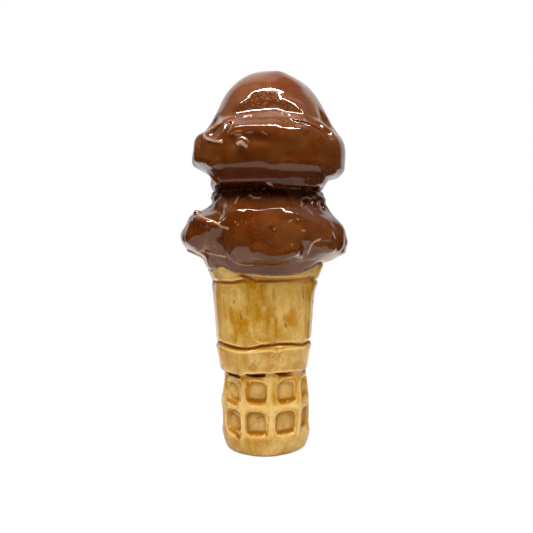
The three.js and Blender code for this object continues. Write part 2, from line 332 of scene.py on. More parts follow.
def makeUpperScoop():
    piece = copyNode("upper_scoop", "upperScoop")
    tree = knead(piece, upper["roughVoxel"], rounds=4)
    # the dome's flat front panel, under a ridge that runs over its top and down to its right end
    stroke(piece, tree, [seen((239, 104), (244, 100.5), (249, 95.5), (254, 91.5))], 0.5, 4.5, out=0.6)
    stroke(piece, tree, [seen((288, 103), (295, 107), (301, 111))], 0.5, 5, out=1.1)
    stroke(piece, tree, [seen((268, 99), (278, 101))], 1, 3.5, out=-0.25)
    # the brow slopes down to the front
    stroke(piece, tree, [seen((232, 119), (250, 117), (270, 116), (290, 117), (302, 120))],
           1, 4, out=-0.8, up=-0.2)
    stroke(piece, tree, [seen((236, 130), (262, 129), (284, 131), (294, 133))], 1, 4.5, out=0.8)
    stroke(piece, tree, [seen((300, 129), (304, 128))], 0.5, 3, out=0.5)
    # the skirt's lip waves, and the second roll under it hangs lower at the right
    stroke(piece, tree, [seen((272, 166), (290, 168), (305, 168), (320, 168), (334, 172))], 1, 2.6, up=-0.8)
    stroke(piece, tree, [seen((268, 183), (280, 183.5), (300, 183), (316, 182))], 0.8, 2, out=-0.8, up=-1.1)
    stroke(piece, tree, [seen((285, 163), (305, 163), (322, 163))], 1, 2.4, out=0.6)
    stroke(piece, tree, [seen((201, 160), (210, 163), (218, 163))], 1, 2.4, out=0.7)
    # the skirt bulges at its left, and the dome at its top right
    stroke(piece, tree, [turned((-90, 126), (-90, 122))], 1, 6, out=0.9)
    stroke(piece, tree, [seen((197.5, 143), (197, 158))], 1, 3.5, out=1.4)
    stroke(piece, tree, [turned((88, 114.6), (96, 114.6))], 1, 2.4, out=0.9)
    stroke(piece, tree, [turned((70, 108.8), (110, 108.8))], 1, 2.4, out=1.2)
    stroke(piece, tree, [seen((285, 76), (292, 79.5))], 2, 6, up=0.9)
    # pockets at the two ends of the brow
    stroke(piece, tree, [seen((214, 131), (218, 127.5))], 1.2, 3.2, out=-1.1, up=-0.4)
    stroke(piece, tree, [seen((312, 121), (322, 126), (329, 132))], 1, 3.5, out=-1.6, up=-0.6)
    # hollows round the torn chunk
    stroke(piece, tree, [seen((232, 139), (232, 143)), seen((252, 138), (266, 139))], 0.8, 2.6, out=-0.7)
    backLedge = turned((96, 136), (112, 134), (132, 134.6), (152, 135.8), (176, 135), (198, 133.4),
                       (222, 134.6), (248, 136.4))
    backLip = turned((118, 117), (134, 115.8), (150, 116.8), (168, 116), (190, 114.4), (214, 113.2),
                     (232, 115))
    backScars = [turned((148, 125), (153, 123.8), (158, 124.4)), turned((168, 128), (172, 127)),
                 turned((226, 124), (229, 121), (227, 118.6)), turned((108, 122), (112, 123.4))]
    leftLip = seen((203.5, 135), (208, 139.5), (213, 141), (222, 142))
    leftLoop = seen((223, 131), (225, 124), (230.5, 120.3), (233, 122), (231, 127), (228, 133))
    chunkTop = seen((236, 140.5), (241, 138.5), (245.5, 140), (247.5, 144))
    chunkFoot = seen((237, 143.5), (241, 142), (244, 144), (246, 146))
    scars = [seen((231, 134), (236, 131), (241, 131)), seen((235, 135), (240.5, 134)),
             seen((247.5, 132.6), (252.5, 132)), seen((262, 131.6), (267, 134.5))]
    joinAll(piece, [
        addRoll(tree, leftLip, 1.8, 0.1),
        addRoll(tree, seen((206, 131), (214, 128), (221, 122), (228, 118), (238, 116.5)), 1.1, 0.4, 0.2),
        addRoll(tree, leftLoop, 0.9, 0.1),
        addRoll(tree, seen((292, 118), (305, 121), (316, 126), (323, 131), (331, 139), (338, 142)), 1.2, 0.4,
                0.1),
        addLump(tree, (241.5, 142.5), (2.5, 1.1, 1.3), -8, 0),
        addRoll(tree, chunkTop, 1.2, -0.5, 0.6),
        addLump(tree, (270, 184.5), (1.4, 1, 1), 10, 0.2),
        *[addRoll(tree, scar, 0.8, 0.1, 0.4) for scar in scars],
        addLump(tree, (241, 130.6), (0.8, 0.6, 0.7), 0, 0),
        addLump(tree, (231.5, 134.4), (1, 0.6, 0.6), 20, 0),
        addLump(tree, (250, 131.8), (1.3, 0.5, 0.5), 0, 0),
        addRoll(tree, seen((317, 144.5), (318.7, 148), (315, 152)), 0.7, 0.1, 0.3),
        addLump(tree, (318, 139), (0.5, 0.4, 0.5), 0, 0),
        addRoll(tree, seen((207, 171), (212, 177), (217, 182), (223, 185)), 1.8, 0, 0.5),
        addLump(tree, (214, 174), (1, 0.8, 0.8), 30, 0),
        addLump(tree, (219, 178), (0.9, 0.7, 0.8), -20, 0),
        addRoll(tree, backLedge, 1.2, 0.35, 0.1),
        addRoll(tree, backLip, 1.4, 0.3, 0.2),
        addLump(tree, (204, 122), (2.6, 1.1, 1.4), 14, 0, turnedAt),
        addRoll(tree, turned((200, 123.5), (205, 124.4), (210, 122.6)), 1.1, -0.4, 0.5),
        *[addRoll(tree, scar, 0.9, 0.1, 0.3) for scar in backScars],
    ])
    tree = knead(piece, upper["fineVoxel"], rounds=4)
    # crisp edges, thin enough to catch the light as lines
    stroke(piece, tree, [seen((241, 102.5), (247, 99), (249, 95), (253, 91.5), (259, 89), (265, 88.5),
                              (272, 88), (280, 90), (286, 93))], 0.2, 2.6, out=0.16, soft="SHARP")
    stroke(piece, tree, [seen((283, 96), (284, 99), (288, 103), (295, 106.5), (300, 109.5), (303, 112.5))],
           0.2, 2.6, out=0.2, soft="SHARP")
    stroke(piece, tree, [seen((235, 127.5), (240, 125.4), (252, 125.4), (264, 125.6), (274, 127),
                              (284, 128.4), (292, 130), (297, 129.4), (302, 127), (307, 129))],
           0.2, 2.2, out=0.2, soft="SHARP")
    tree = treeOf(piece)
    paint(piece, tree, "thin", [leftLip, seen((268, 183), (272, 186))], 0.1, 0.5)
    paint(piece, tree, "thin", [chunkFoot], 0.3, 0.6)
    paint(piece, tree, "thin", [leftLoop], 0, 0.4, 0.5)
    # painted shade under the brow's torn crumbs and under the chunk
    paint(piece, tree, "deep", [seen((234, 137), (239, 135)), seen((243, 133), (256, 134.5), (268, 138)),
                                seen((242, 149), (246, 158))], 0.4, 2, 0.4)
    paint(piece, tree, "rough", [seen((250, 100), (262, 95), (278, 98), (286, 105)),
                                 seen((246, 106), (286, 107))], 2, 3)
    paint(piece, tree, "rough", [seen((270, 119), (300, 124))], 1, 3, 0.5)
    # painted shade on the second roll, which hangs in the skirt's shadow
    paint(piece, tree, "deep", [seen(*((x, 174.5) for x in (220, 250, 280, 300, 320)))], 1.2, 2, 0.6)
    soften(piece, tree, [seen((198, 154), (202, 162), (209, 172), (214, 178)),
                         seen((324, 164), (332, 168), (333, 174)), seen((336, 148), (338, 162))], 2.4, 20)
    soften(piece, tree, [turned((-46, 109), (46, 109))], 1.6, 8)
    paint(piece, tree, "thin", [*scars, *backScars, backLip], 0, 0.4, 0.5)
    # painted highlights: short glints on the neck
    paint(piece, tree, "thin", [seen((290, 188.8), (295, 188.2), (300, 188.6)),
                                seen((262, 191.5), (264.5, 188))], 0, 0.5, 0.5)
    # painted shade in the neck recess under the skirt, all round and fully at the front
    paint(piece, tree, "deep", [turned((-180, z), (180, z)) for z in (107, 108.5, 109.5)], 1, 2.5, 0.6)
    paint(piece, tree, "deep", [turned((-60, z), (20, z)) for z in (107, 108.5, 109.5)], 1, 2.5)
    return piece


# Lower scoop
lower = {
    "roughVoxel": 0.8,
    "fineVoxel": 0.4,
}


def makeLowerScoop():
    piece = copyNode("lower_scoop", "lowerScoop")
    tree = knead(piece, lower["roughVoxel"], rounds=4)
    # the mound: broad shoulders, a hanging belly, and a valley at its left
    stroke(piece, tree, [seen((232, 210), (244, 209)), seen((284, 208), (299, 210))], 2, 5, out=1.6)
    stroke(piece, tree, [seen((234, 230), (235, 244))], 1.5, 4.5, out=0.8)
    stroke(piece, tree, [seen((258, 254), (267, 259), (280, 259), (292, 254))], 1, 4, out=1.4)
    stroke(piece, tree, [seen((231, 247), (245, 246))], 1, 3, out=0.9)
    stroke(piece, tree, [seen((227, 230), (225, 238), (225, 250))], 0.6, 3, out=-1.2)
    soften(piece, tree, [seen((236, 212), (236, 248))], 4, 25)
    soften(piece, tree, [seen((304, 212), (306, 242))], 3.5, 20)
    # the neck is as wide as the upper scoop's
    stroke(piece, tree, [turned((60, 106.4), (120, 106.4))], 1, 3, out=1.3)
    stroke(piece, tree, [turned((-60, 106.4), (-120, 106.4))], 1, 2.6, out=1)
    # the wing: a thin crest over a face that falls back to the lip below
    stroke(piece, tree, [seen((185, 241), (193, 243))], 1, 4, out=1.2)
    stroke(piece, tree, [seen((194, 240), (202, 240), (208, 243))], 1, 4.5, out=1.5)
    stroke(piece, tree, [seen((190, 224), (189, 232))], 1, 3, front=1.1)
    stroke(piece, tree, [seen((201, 217), (210, 219), (216, 222), (221, 225), (226, 227))], 0.8, 4, out=2.2)
    stroke(piece, tree, [seen((203, 251), (212, 252), (222, 255), (230, 259))], 1, 4, out=-1.6)
    stroke(piece, tree, [seen((211, 266), (217, 265))], 1, 3, up=-1.6)
    stroke(piece, tree, [seen((206, 209), (214, 214), (222, 219))], 1, 4, out=-1.6)
    # the right lobe: its top slopes up to the neck, and its crest stands out
    stroke(piece, tree, [seen((322, 225), (330, 225))], 2, 4, front=1.6)
    stroke(piece, tree, [seen((324, 208), (328, 211))], 1, 3.5, front=-1.4)
    stroke(piece, tree, [seen((314, 243), (322, 240), (334, 239), (343, 239))], 0.8, 3, out=1.5)
    stroke(piece, tree, [seen((316, 249), (328, 249), (340, 249))], 0.8, 3, out=1.2)
    stroke(piece, tree, [turned((-80, 82.2), (-100, 82.2))], 1.5, 4, out=2)
    stroke(piece, tree, [turned((76, 79.4), (104, 79.4))], 1, 3.2, out=2.2)
    stroke(piece, tree, [turned((80, 84.4), (100, 84.4))], 0.6, 3, out=-0.9)
    soften(piece, tree, [turned((70, 80), (90, 80), (110, 80))], 4, 30)
    stroke(piece, tree, [seen((209.5, 257), (210.5, 267))], 0.8, 3, out=1.1)
    soften(piece, tree, [seen((228, 228), (226, 240), (229, 254))], 3, 16)
    soften(piece, tree, [seen((334, 228), (341, 236), (342, 248), (334, 256), (322, 259))], 4.5, 30)
    soften(piece, tree, [seen((183, 234), (186, 244), (196, 251)), seen((209, 255), (211, 266))], 3, 16)
    stroke(piece, tree, [turned((88, 88), (92, 84))], 2, 8, out=0.6)
    soften(piece, tree, [seen((310, 214), (316, 222), (322, 228))], 4, 20)
    stroke(piece, tree, [seen((338, 234), (342, 244))], 2, 6, front=-1.6)
    stroke(piece, tree, [seen((304, 222), (305, 236))], 1, 3.5, out=1)
    stroke(piece, tree, [seen((310, 216), (311, 230), (310, 246))], 0.6, 2.4, out=0.7)
    stroke(piece, tree, [seen((305, 246), (305, 254))], 0.6, 2.6, out=-0.6)
    tree = treeOf(piece)
    wingCrest = seen((197.5, 210.5), (199.5, 215), (205, 218), (213, 221), (218, 224), (221, 226.5),
                     (228, 228.5))
    apronLip = seen((197, 253.5), (202.5, 250), (206, 252.5), (213, 254.5), (219, 255.5), (225, 257))
    apronLipRight = [(225, 255), (229, 258), (234, 262), (239, 264), (245, 265.3), (252, 265.5), (262, 264.8),
                     (274, 263.6), (282, 262)]
    lobeCrest = [(307.5, 254), (309.5, 250), (311.5, 245), (314, 242), (320, 239.5), (330, 238.5), (338, 239)]
    lobeLip = seen((299, 262), (307, 259.5), (317, 258))
    chips = [seen((296, 218), (300, 214), (303, 210.5)), seen((288.6, 222), (293, 219.5), (297, 218.5)),
             seen((300, 212), (302, 217))]
    bumps = [(248.6, 225.2), (251.4, 223), (252.6, 225.6), (255.6, 222.4), (257.4, 224.6)]
    backLip = turned((132, 80.4), (150, 79.4), (172, 81.4), (190, 80.4), (210, 79.2), (230, 80.8))
    backRidges = [turned((120, 93), (134, 95.4), (150, 94.6), (160, 92)),
                  turned((188, 98), (200, 99.6), (214, 98), (226, 94)),
                  turned((100, 90), (108, 92), (114, 91))]
    backChips = [turned((140, 88), (146, 87), (150, 88.4)), turned((200, 90), (204, 88.6)),
                 turned((233, 92), (236, 89.6), (234, 87.6)), turned((214, 86), (220, 85.4))]
    joinAll(piece, [
        addRoll(tree, wingCrest, 1, 0.2, 0.7),
        addLump(tree, (196.5, 213), (1.5, 1.5, 1.3), 0, 0.2),
        addRoll(tree, apronLip, 0.9, 0.15),
        addRoll(tree, seen(*apronLipRight), 0.8, 0.2),
        addRoll(tree, seen(*lobeCrest), 0.9, 0.2),
        addRoll(tree, lobeLip, 0.9, 0.2),
        addLump(tree, (274, 229.5), (0.8, 0.7, 0.8), 0, 0.25),
        *[addLump(tree, place, (0.36, 0.4, 0.36), 0, 0.16) for place in bumps],
        addLump(tree, (297, 221.3), (0.6, 0.6, 1), 10, 0),
        addRoll(tree, seen((301, 206), (302, 199), (306, 197.5), (311, 198.5), (314, 196.5)), 1.1, 0),
        addRoll(tree, seen((311, 199), (313, 204), (312, 208)), 1.2, 0.1),
        addRoll(tree, seen((317, 198), (318.5, 203), (320, 208)), 0.9, 0.2),
        addRoll(tree, seen((222, 222), (230, 221.5), (238, 224.5)), 1.4, 0.2),
        addLump(tree, (227.5, 241), (1.9, 2.6, 6.2), 0, 0.6),
        addLump(tree, (231, 254), (2, 1.8, 3.4), -30, 0.6),
        addLump(tree, (254, 194), (3.2, 1, 1.9), 0, 0.2),
        addRoll(tree, seen((250, 195), (253, 197.3), (256, 198.4), (260, 198)), 0.9, 0.1, 0.6),
        addRoll(tree, seen((217, 196.5), (233, 193.5), (248, 195.5)), 1.2, 0.35, 0.2),
        addRoll(tree, seen((263, 195), (279, 195), (301, 196)), 1.2, 0.35, 0.2),
        addRoll(tree, seen((238.5, 195.5), (236, 201), (234.5, 205)), 0.9, 0.2, 0.2),
        addRoll(tree, seen((214, 206), (219, 200), (226, 196.5)), 1.3, 0.3, 0.2),
        *[addRoll(tree, chip, 0.6, 0.15, 0.3) for chip in chips],
        addRoll(tree, backLip, 1, 0.15, 0.3),
        *[addRoll(tree, ridge, 1.4, 0.2, 0.3) for ridge in backRidges],
        *[addRoll(tree, chip, 0.9, 0.1, 0.3) for chip in backChips],
        addLump(tree, (158, 96), (1.5, 1, 1.3), 20, 0, turnedAt),
    ])
    tree = knead(piece, lower["fineVoxel"], rounds=3)
    stroke(piece, tree, [turned((-40, 106.4), (40, 106.4))], 0.8, 2, out=-0.6)
    soften(piece, tree, [seen((184, 236), (186, 244)), seen((341, 226), (342, 250))], 4, 20)
    soften(piece, tree, [seen((208, 240), (216, 240), (223, 248))], 2.6, 20)
    soften(piece, tree, [seen((311, 212), (311, 240), (303, 247)), seen((229, 228), (227, 242), (231, 254))],
           3.4, 36)
    soften(piece, tree, [seen((222, 198), (226, 212))], 2.4, 20)
    soften(piece, tree, [turned((-46, 105.4), (-20, 105.4)), turned((2, 105.4), (40, 105.4))], 1.4, 8)
    soften(piece, tree, [seen((209, 257), (210, 264), (213, 271))], 2.6, 14)
    # pits beside the nub and in the torn clay at the right
    stroke(piece, tree, [seen((271.8, 228.8))], 0.4, 1, out=-0.5)
    stroke(piece, tree, [seen((304, 200), (308, 201)), seen((315, 200), (315, 206)),
                         seen((322, 204), (323, 209))], 0.5, 1.3, out=-1.4)
    # crisp edges, thin enough to catch the light as lines
    stroke(piece, tree, [seen((234, 210), (244, 209), (250, 209.4), (254, 211), (262, 210), (272, 208.4),
                              (284, 208), (296, 207.6))], 0.2, 3, out=0.24, soft="SHARP")
    tree = treeOf(piece)
    paint(piece, tree, "thin", [wingCrest, apronLip, seen(*lobeCrest[:5])], 0.1, 0.45)
    # paler thin glaze on the lips, lobe and chips, and painted highlights on the nub and on a spot of the
    # mound
    paint(piece, tree, "thin", [lobeLip, seen(*apronLipRight[:6]), seen((214.8, 246)),
                                seen((301, 206), (302, 199), (306, 197.5), (311, 198.5), (314, 196.5)),
                                seen((274, 229.5)), seen((292, 244.5)), seen((238, 224.5)),
                                seen((302, 230.5), (305, 230.6))], 0, 0.45, 0.6)
    paint(piece, tree, "thin", [backLip, *backRidges, *backChips], 0, 0.45, 0.6)
    # painted highlight along the drop's lower edge, and a pale streak on the slope beside it
    paint(piece, tree, "thin", [seen((250, 195.4), (253, 197.3), (256, 198.2), (260, 197.4)),
                                seen((238.3, 196.5), (236.6, 200), (235.4, 203))], 0, 0.5, 0.8)
    paint(piece, tree, "rough", [seen((249, 222), (260, 225)), seen((256, 240), (280, 246))], 1.5, 3, 0.2)
    # painted highlights on the chips
    paint(piece, tree, "thin", [seen((289, 221.6), (292, 220))], 0, 0.4, 0.6)
    # painted shade in the pit beside the nub
    paint(piece, tree, "deep", [seen((270.5, 228.5), (272.5, 229.5))], 0.4, 1.2, 0.5)
    # painted shade on the neck under the upper scoop, all round and more at the front
    paint(piece, tree, "deep", [turned((-180, z), (180, z)) for z in (105.5, 106.8)], 0.6, 4.6, 0.5)
    paint(piece, tree, "deep", [turned((-45, z), (20, z)) for z in (105.5, 106.8)], 0.6, 3, 0.8)
    # painted shade on the drip under the neck
    paint(piece, tree, "deep", [seen((246, 194), (258, 195.5))], 1, 1.2)
    closeSeam(piece, low=72, high=79.6, looks=-1, up=-0.8, grow=1.008, around=24.2)
    closeSeam(piece, low=105.5, high=109, looks=1, up=1.4, grow=0.99)
    return piece


# Wafer cup
wafer = {
    "voxel": 0.43,
    "innerShare": 0.92,  # of a pocket's outline
    "outerShare": 1.16,
    "seed": 5,
    "backPits": 16,
    "backPatches": 12,
}


def makeWaferCup():
    piece = copyNode("wafer_cup", "waferCup")
    tree = knead(piece, wafer["voxel"], rounds=3)
    stroke(piece, tree, [turned((80, 74), (100, 74))], 3, 6, out=1.1)
    stroke(piece, tree, [turned((75, 4), (105, 4))], 2, 6, out=0.9)
    stroke(piece, tree, [turned((-12, 1), (12, 1))], 0.6, 4, out=0.6)
    # the strips' grooves: one under the rim in two overlapping parts, one over the band
    rimGroove = seen((212, 280.5), (218, 282), (226, 283), (234, 282.5), (240, 281), (246, 280))
    rimGrooveRight = seen((241, 275), (246, 276.5), (251, 279), (256, 281), (264, 281), (275, 281),
                          (288, 280), (300, 279), (313, 278))
    bandGroove = seen((218, 340.5), (222, 343), (230, 346.5), (238, 348.5), (247, 349), (255, 348),
                      (262, 346), (270, 345.5), (278, 344), (290, 344), (302, 345.5), (306, 344), (309, 342))
    rimLip = seen((212, 277.5), (222, 279.5), (232, 280), (242, 278))
    rimLipRight = seen((240, 271), (250, 274), (262, 276), (275, 276.7), (290, 276), (300, 275.7), (311, 275))
    upperLip = seen((219, 338.5), (226, 342), (236, 345.5), (246, 347), (254, 345.5), (262, 343.8),
                    (272, 343.8), (280, 341.8), (292, 341.5), (303, 342.5), (308, 340))
    lowerLip = seen((219, 346), (226, 349.5), (236, 352.3), (250, 353), (262, 351.5), (270, 350.5),
                    (277, 352), (286, 349.5), (296, 348.7), (306, 348))
    bandEdge = seen((224, 368.5), (228, 371.5), (234, 373.5), (240, 375.5), (246, 373), (262, 372.5),
                    (270, 373), (280, 371.5), (290, 370.5), (300, 370), (305, 369))
    curl = seen((254, 339.5), (258, 342), (264, 343), (270, 341.5))
    joinAll(piece, [
        addRoll(tree, rimLip, 0.85, 0.15),
        addRoll(tree, rimLipRight, 0.85, 0.15),
        addRoll(tree, upperLip, 0.8, 0.15),
        addRoll(tree, lowerLip, 0.85, 0.15),
        addRoll(tree, bandEdge, 0.9, 0.25),
        addRoll(tree, curl, 1.1, 0),
        addLump(tree, (252, 281), (1, 0.6, 0.5), 15, 0.1),
        addLump(tree, (279, 350.5), (1.8, 0.6, 0.5), -12, 0.1),
    ])
    tree = knead(piece, wafer["voxel"], rounds=2)
    soften(piece, tree, [seen((309.5, 287), (308, 334))], 2.2, 24)
    soften(piece, tree, [seen((214.5, 287), (217, 334))], 2.2, 24)
    stroke(piece, tree, [bandGroove], 0.3, 0.8, out=-0.5)
    stroke(piece, tree, [rimGroove, rimGrooveRight], 0.3, 0.8, out=-0.25)
    # the pockets that show: an inner edge, and the lower wall where the glaze gathers
    pockets = [
        [(226.5, 381), (233, 382.5), (238, 387), (239, 395), (237.5, 407), (231, 404), (226.5, 400.5)],
        [(246.5, 381.5), (252, 381), (265, 383.5), (267.5, 386), (266.5, 396), (265, 404.5), (255, 404.5),
         (246, 401), (244.8, 393)],
        [(280, 382), (285, 379), (295, 378.5), (297, 382), (296, 400), (288, 402.5), (280, 404),
         (278.5, 398)],
        [(227.5, 411.5), (233, 412), (239, 417), (241, 422), (240.5, 437.5), (233, 433.5), (228, 429)],
        [(249, 413), (257, 412), (266, 414), (269.5, 418), (268.5, 430), (267.5, 436.5), (250, 436.5),
         (246.5, 431), (246.5, 418)],
        [(278, 413.5), (283, 411), (292, 411), (294.8, 414), (293.5, 432.5), (285, 433.5), (278, 435.5),
         (275.5, 431), (276, 417)],
    ]
    lowerWalls = [[(229, 400.5), (236, 404)], [(248, 400), (264, 401)], [(281, 401), (294, 399)],
                  [(230, 430), (237, 434.5)], [(249, 433), (266, 433)], [(278, 433), (292, 430)]]
    inner, outer = [], []
    for loop in pockets:
        across, down = (sum(values) / len(loop) for values in zip(*loop))
        for grown, share in ((inner, wafer["innerShare"]), (outer, wafer["outerShare"])):
            places = [(across + share * (x - across), down + share * (y - down)) for x, y in loop + loop[:1]]
            grown.append(seen(*places))
    walls = [seen(*wall) for wall in lowerWalls]
    stroke(piece, tree, inner, 0.2, 0.8, out=-0.25)
    stroke(piece, tree, walls, 0.3, 1.2, out=-0.5)
    slots = [seen((228, 372.5), (234, 375), (239, 377.3)), seen((247, 374.5), (256, 375), (264, 375.5)),
             seen((277, 373.5), (284, 373.2), (290, 372.8))]
    stroke(piece, tree, slots, 0.4, 0.8, out=-0.8)
    # pits and scratches
    pits = [seen((234, 301), (234, 303.5)), seen((240, 314), (241.5, 319)), seen((285, 323), (285.5, 327)),
            seen((303, 286), (303.5, 298))]
    chance = random.Random(wafer["seed"])
    for _ in range(wafer["backPits"]):
        bearing, height = chance.uniform(70, 290), chance.uniform(50, 68)
        pit = turned((bearing, height), (bearing + chance.uniform(-1, 1), height + chance.uniform(0.3, 2.4)))
        pits.append(pit)
    stroke(piece, tree, pits, 0.2, 0.6, out=-0.35)
    stroke(piece, tree, [seen((272, 358), (277, 352), (283, 360)), seen((251, 353), (255, 357)),
                         seen((250, 368), (255, 361))], 0.2, 0.6, out=-0.3)
    tree = treeOf(piece)
    paint(piece, tree, "amber", [rimGroove, rimGrooveRight, bandGroove], 0.7, 0.9)
    paint(piece, tree, "dark", [bandGroove], 0.3, 0.6, 0.7)
    paint(piece, tree, "dark", [rimGroove, rimGrooveRight], 0.2, 0.6, 0.7)
    paint(piece, tree, "dark", [seen((309, 277), (313, 280)), seen((243, 276), (252, 279))], 0.4, 0.8)
    paint(piece, tree, "dark", pits, 0, 0.5, 0.8)
    paint(piece, tree, "dark", slots[:2], 0.7, 0.4)
    paint(piece, tree, "dark", slots[2:], 0.2, 0.4)
    paint(piece, tree, "amber", [seen((276, 376), (292, 375)), seen((242, 378.5), (262, 378.5))], 0.4, 0.9)
    paint(piece, tree, "dark", [seen((257, 418), (262, 416.5))], 0.1, 0.7, 0.5)
    paint(piece, tree, "dark", [seen((237.5, 435.5), (239, 437))], 0.4, 0.8, 0.9)
    paint(piece, tree, "dark", [seen((304.5, 410), (304, 421)), *walls], 0.2, 0.9, 0.25)
    paint(piece, tree, "amber", inner, 0.1, 0.9, 0.75)
    paint(piece, tree, "amber", inner, 1, 1.8, 0.42)
    paint(piece, tree, "amber", walls, 0.8, 0.8, 0.8)
    # painted highlights on the pockets' rims, where the glaze also thins
    paint(piece, tree, "pale", outer, 0.1, 0.8, 0.25)
    # painted highlights along the ribs, where the glaze also thins
    ribs = [seen(*rib) for rib in (
        [(269.5, 384), (269.5, 400), (271.5, 410), (272, 434)],
        [(242.5, 385), (241.5, 402), (243.5, 414), (243.5, 436)],
        [(299.5, 383), (300.5, 410), (298, 432)], [(229, 408), (238, 411)],
        [(245, 408), (257, 408.5), (268, 409)],
        [(275, 408.5), (286, 406.5), (297, 406)], [(228, 379.5), (236, 381)], [(266, 379.5), (276, 380)],
    )]
    paint(piece, tree, "pale", ribs, 0.4, 1.3, 0.6)
    paint(piece, tree, "amber", [seen((226, 437), (238, 446)), seen((249, 440), (266, 441))], 0.6, 2.4, 0.4)
    paint(piece, tree, "amber", [seen((226, 360), (240, 364), (262, 363), (285, 361), (302, 358))],
          3, 2.6, 0.15)
    # painted light on the pockets' centres
    paint(piece, tree, "pale", [seen((255, 391), (258, 391)), seen((257, 425), (260, 425)),
                                seen((285, 390), (288, 390)), seen((285, 421), (287, 422)),
                                seen((230, 392), (232, 394)), seen((231, 423), (232, 424))], 0.6, 3, 0.25)
    # painted sheen on the wall's sides, then painted highlight lines down the wall
    paint(piece, tree, "pale", [seen((218, 288), (222, 336)), seen((298, 286), (303, 336)),
                                seen((283, 288), (285, 306))], 2, 5, 0.3)
    paint(piece, tree, "pale", [seen((302.5, 302), (302.5, 330)), seen((239, 290), (240, 309)),
                                seen((280, 298), (280, 318))], 0.1, 0.6, 0.4)
    # thin streaks of glaze run down the wall: across, top and foot of each
    streaks = [(231, 308, 322), (240, 317, 327), (246, 320, 330), (257, 306, 321), (262, 284, 301),
               (268, 310, 323), (276, 320, 331), (286, 315, 327), (291, 304, 325), (295, 309, 323),
               (305, 316, 333), (224, 298, 312), (250, 333, 339), (299, 294, 308), (273, 288, 298),
               (236, 332, 341), (219, 315, 328), (308, 288, 300)]
    paint(piece, tree, "amber", [seen((x, top), (x + 0.6, foot)) for x, top, foot in streaks], 0.1, 0.9, 0.75)
    for _ in range(wafer["backPatches"]):
        bearing, height = chance.uniform(60, 300), chance.uniform(48, 68)
        patch = turned((bearing, height), (bearing + chance.uniform(-4, 4), height + chance.uniform(1, 5)))
        paint(piece, tree, "amber", [patch], chance.uniform(0.3, 1.2), 2, chance.uniform(0.6, 1))
    paint(piece, tree, "amber", [seen((293, 312), (292, 322)), seen((287, 318), (295, 322))], 1, 2)
    paint(piece, tree, "amber", [seen((258, 312), (260, 317)), seen((268, 315), (268, 318)),
                                 seen((231, 313), (231, 321)), seen((262, 289), (263, 297)),
                                 seen((240, 322), (252, 326)), seen((231, 336), (235, 339))], 0.2, 2.6, 0.6)
    paint(piece, tree, "amber", [seen((241, 277), (250, 281)), seen((258, 279.5), (312, 278.5)),
                                 seen((250, 284), (254, 286))], 0.8, 1.2)
    # painted highlights on the strips' lips and the band's edge, where the glaze also thins
    paint(piece, tree, "pale", [rimLip, rimLipRight, lowerLip, upperLip, bandEdge], 0.1, 0.5, 0.8)
    closeSeam(piece, low=71, high=82, looks=1, up=1, grow=0.985)
    markPools(piece, rounds=400, deep=0.35, top=34)
    return piece


def finishSurface(piece):
    markRelief(piece, "fine", rounds=6)
    markRelief(piece, "broad", rounds=60)
    pickOnly(piece)
    bpy.ops.object.shade_smooth()
    print(piece.name, len(piece.data.polygons), "quads")


upperScoop = makeUpperScoop()
lowerScoop = makeLowerScoop()
waferCup = makeWaferCup()
for piece in (upperScoop, lowerScoop, waferCup):
    finishSurface(piece)


# Shader maths as Python expressions
class Value:
    def __init__(self, maker, socket):
        self.maker = maker
        self.socket = socket

    def math(self, operation, *others):
        return self.maker.node("ShaderNodeMath", {"operation": operation}, [self, *others])

    def __add__(self, other):
        return self.math("ADD", other)

    __radd__ = __add__

    def __sub__(self, other):
        return self.math("SUBTRACT", other)

    def __rsub__(self, other):
        return self.maker.node("ShaderNodeMath", {"operation": "SUBTRACT"}, [other, self])

    def __mul__(self, other):
        return self.math("MULTIPLY", other)

    __rmul__ = __mul__

    # 0 below low, 1 above high, smooth in between
    def between(self, low, high):
        return self.maker.node(
            "ShaderNodeMapRange",
            {"interpolation_type": "SMOOTHSTEP"},
            {"Value": self, "From Min": low, "From Max": high},
        )


class Maker:
    def __init__(self, tree):
        self.tree = tree
        self.tree.nodes.clear()

    def node(self, kind, settings=None, inputs=None, output=0):
        made = self.tree.nodes.new(kind)
        for name, setting in (settings or {}).items():
            setattr(made, name, setting)
        pairs = inputs.items() if isinstance(inputs, dict) else enumerate(inputs or [])
        for key, given in pairs:
            if isinstance(given, Value):
                self.tree.links.new(given.socket, made.inputs[key])
            elif given is not None:
                made.inputs[key].default_value = given
        return Value(self, made.outputs[output]) if made.outputs else None

    def mix(self, factor, first, second):
        made = self.tree.nodes.new("ShaderNodeMix")
        made.data_type = "RGBA"
        for key, given in ((0, factor), (6, first), (7, second)):
            if isinstance(given, Value):
                self.tree.links.new(given.socket, made.inputs[key])
            else:
                made.inputs[key].default_value = given
        return Value(self, made.outputs[2])


# A procedural noise on Object coordinates, its size in millimetres, squeezed in the three directions
def grain(maker, size, detail=3, roughness=0.55, squeeze=(1, 1, 1)):
    place = maker.node("ShaderNodeTexCoord", {}, {}, "Object")
    scaled = maker.node("ShaderNodeMapping", {}, {"Vector": place, "Scale": squeeze})
    return maker.node(
        "ShaderNodeTexNoise",
        {},
        {"Vector": scaled, "Scale": 1 / (size * mm), "Detail": detail, "Roughness": roughness},
        "Fac",
    )


def mask(maker, name):
    return maker.node("ShaderNodeAttribute", {"attribute_name": name}, {}, "Fac")


def newMaterial(name):
    material = bpy.data.materials.new(name)
    material.use_nodes = True
    return material, Maker(material.node_tree)


